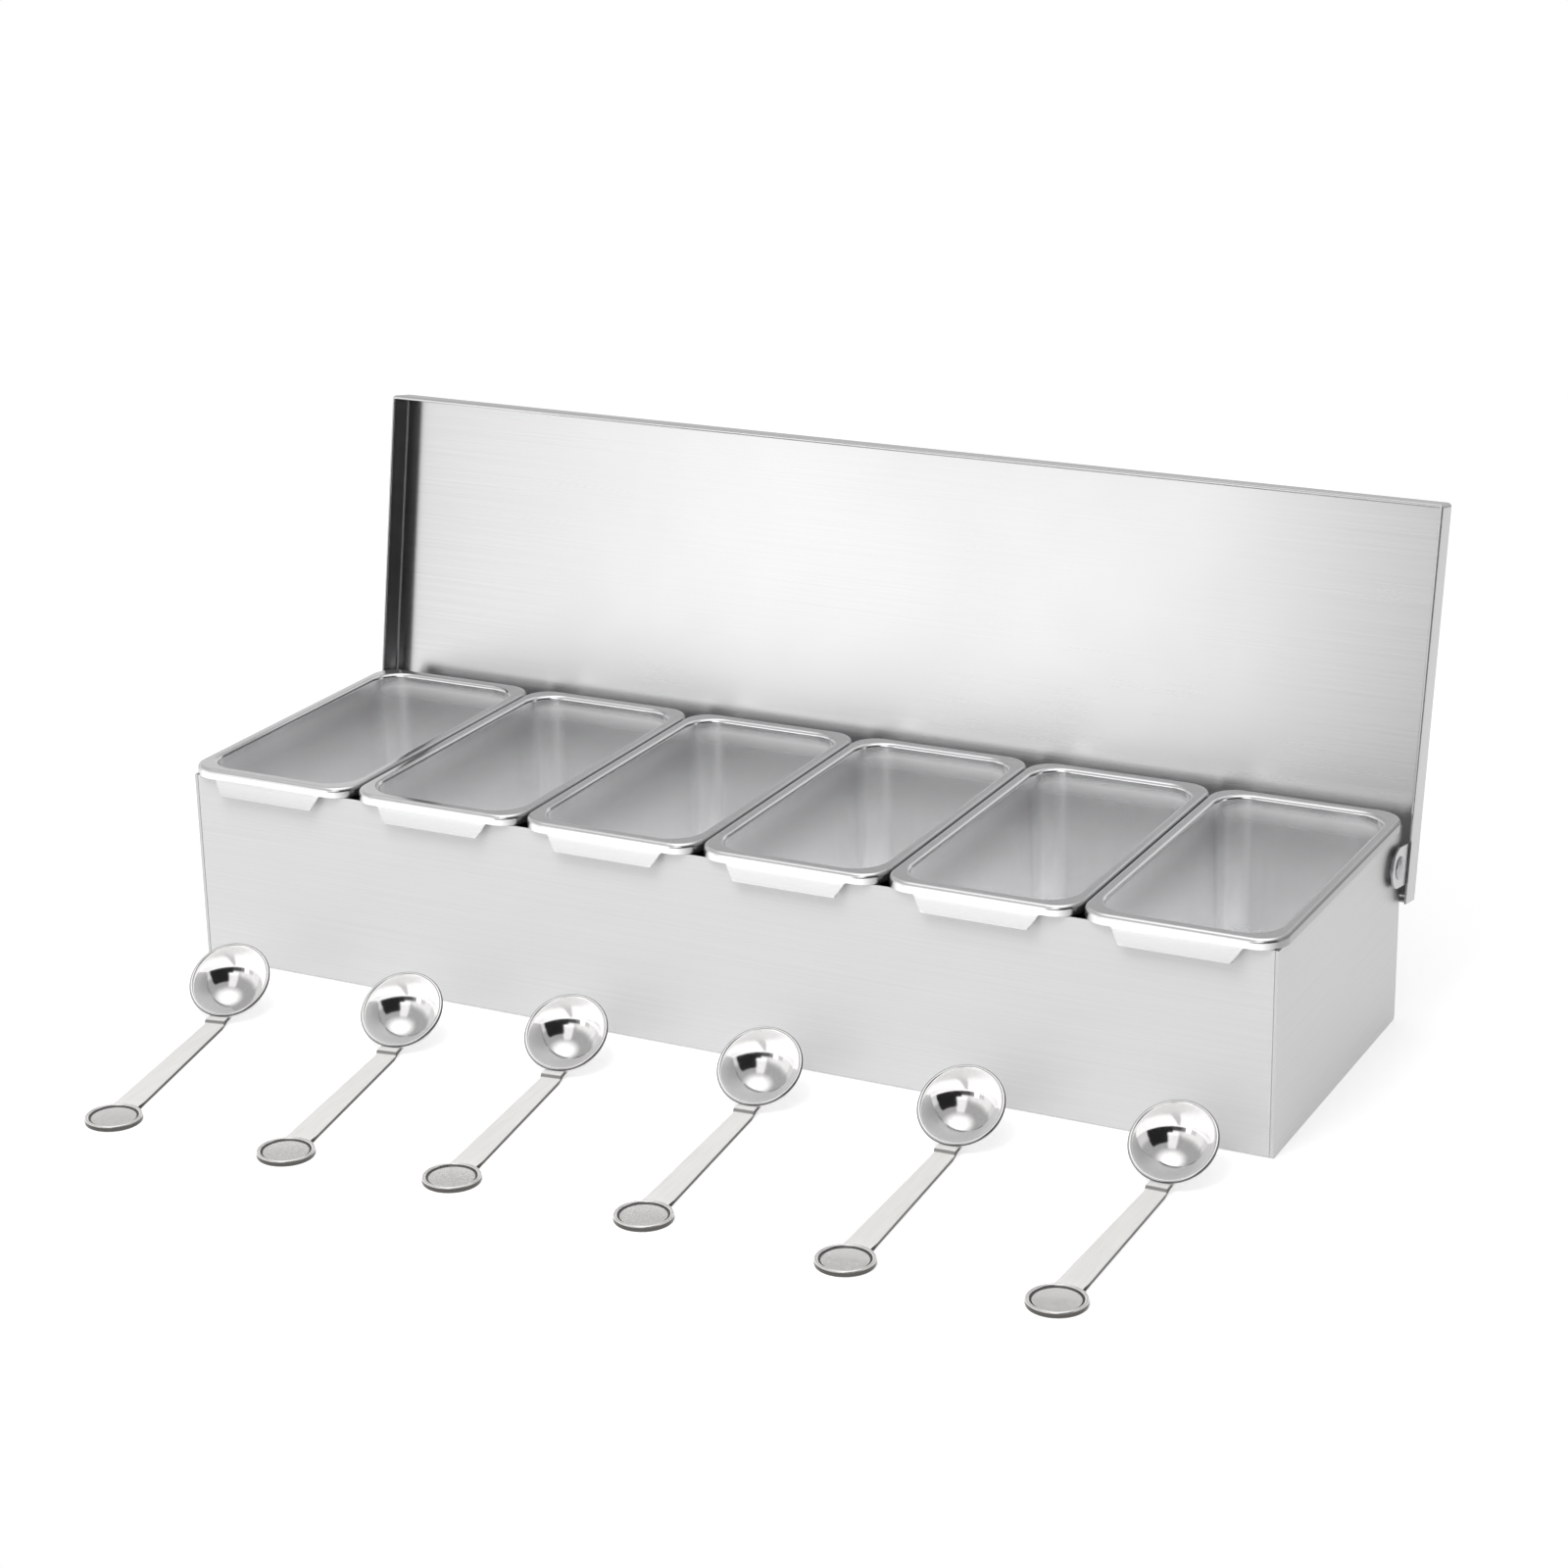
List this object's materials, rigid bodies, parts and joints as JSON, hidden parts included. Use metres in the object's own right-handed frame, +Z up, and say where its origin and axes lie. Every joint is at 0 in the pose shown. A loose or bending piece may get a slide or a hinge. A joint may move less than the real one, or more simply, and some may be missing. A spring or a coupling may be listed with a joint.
{
  "type": "bar garnish tray",
  "caption": "Stainless condiment box with a row of lift-out pans, a hinged lid standing open and loose round-bowled spoons in front.",
  "frame": {"origin": "on the underside of the case, at its middle", "axes": "+Z up, +X to the right along the front, -Y towards the user; the lid's hinge axis is along X"},
  "size_m": [0.5496, 0.3906, 0.2353],
  "materials": {
    "case_steel": "fine brushed, grain along the length",
    "lid_steel": "fine brushed outside, semi-bright inside",
    "pan_steel": "drawn sheet, soft satin",
    "rivet_steel": "plain bright",
    "bowl_steel": "mirror polished",
    "handle_steel": "matt, fine grain along the handle"
  },
  "bodies": {
    "case": {"case_shell": "case_steel", "end_plate_left": "case_steel", "end_plate_right": "case_steel", "spacer_left": "rivet_steel", "spacer_right": "rivet_steel", "pivot_rivet_left": "rivet_steel", "pivot_rivet_right": "rivet_steel"},
    "lid": {"lid_panel": "lid_steel", "lid_flange_front": "lid_steel", "lid_flange_rear": "lid_steel", "lid_flange_left": "lid_steel", "lid_flange_right": "lid_steel", "hinge_lug_left": "lid_steel", "hinge_lug_right": "lid_steel"},
    "pan_1": {"pan_1": "pan_steel"},
    "pan_2": {"pan_2": "pan_steel"},
    "pan_3": {"pan_3": "pan_steel"},
    "pan_4": {"pan_4": "pan_steel"},
    "pan_5": {"pan_5": "pan_steel"},
    "pan_6": {"pan_6": "pan_steel"},
    "spoon_1": {"spoon_bowl_1": "bowl_steel", "spoon_handle_1": "handle_steel"},
    "spoon_2": {"spoon_bowl_2": "bowl_steel", "spoon_handle_2": "handle_steel"},
    "spoon_3": {"spoon_bowl_3": "bowl_steel", "spoon_handle_3": "handle_steel"},
    "spoon_4": {"spoon_bowl_4": "bowl_steel", "spoon_handle_4": "handle_steel"},
    "spoon_5": {"spoon_bowl_5": "bowl_steel", "spoon_handle_5": "handle_steel"},
    "spoon_6": {"spoon_bowl_6": "bowl_steel", "spoon_handle_6": "handle_steel"}
  },
  "joints": [
    {"name": "lid_hinge", "type": "hinge", "parent": "case", "child": "lid", "pos_m": [0, 0.0705, 0.078], "axis": [-1, 0, 0], "range_deg": [-101.51, 0]},
    {"name": "pan_1_lift", "type": "slide", "parent": "case", "child": "pan_1", "axis": [0, 0, 1], "range_m": [0, 0.11]},
    {"name": "pan_2_lift", "type": "slide", "parent": "case", "child": "pan_2", "axis": [0, 0, 1], "range_m": [0, 0.11]},
    {"name": "pan_3_lift", "type": "slide", "parent": "case", "child": "pan_3", "axis": [0, 0, 1], "range_m": [0, 0.11]},
    {"name": "pan_4_lift", "type": "slide", "parent": "case", "child": "pan_4", "axis": [0, 0, 1], "range_m": [0, 0.11]},
    {"name": "pan_5_lift", "type": "slide", "parent": "case", "child": "pan_5", "axis": [0, 0, 1], "range_m": [0, 0.11]},
    {"name": "pan_6_lift", "type": "slide", "parent": "case", "child": "pan_6", "axis": [0, 0, 1], "range_m": [0, 0.11]},
    {"name": "spoon_1_lift", "type": "slide", "parent": "case", "child": "spoon_1", "axis": [0, 0, 1], "range_m": [0, 0.05]},
    {"name": "spoon_2_lift", "type": "slide", "parent": "case", "child": "spoon_2", "axis": [0, 0, 1], "range_m": [0, 0.05]},
    {"name": "spoon_3_lift", "type": "slide", "parent": "case", "child": "spoon_3", "axis": [0, 0, 1], "range_m": [0, 0.05]},
    {"name": "spoon_4_lift", "type": "slide", "parent": "case", "child": "spoon_4", "axis": [0, 0, 1], "range_m": [0, 0.05]},
    {"name": "spoon_5_lift", "type": "slide", "parent": "case", "child": "spoon_5", "axis": [0, 0, 1], "range_m": [0, 0.05]},
    {"name": "spoon_6_lift", "type": "slide", "parent": "case", "child": "spoon_6", "axis": [0, 0, 1], "range_m": [0, 0.05]}
  ]
}
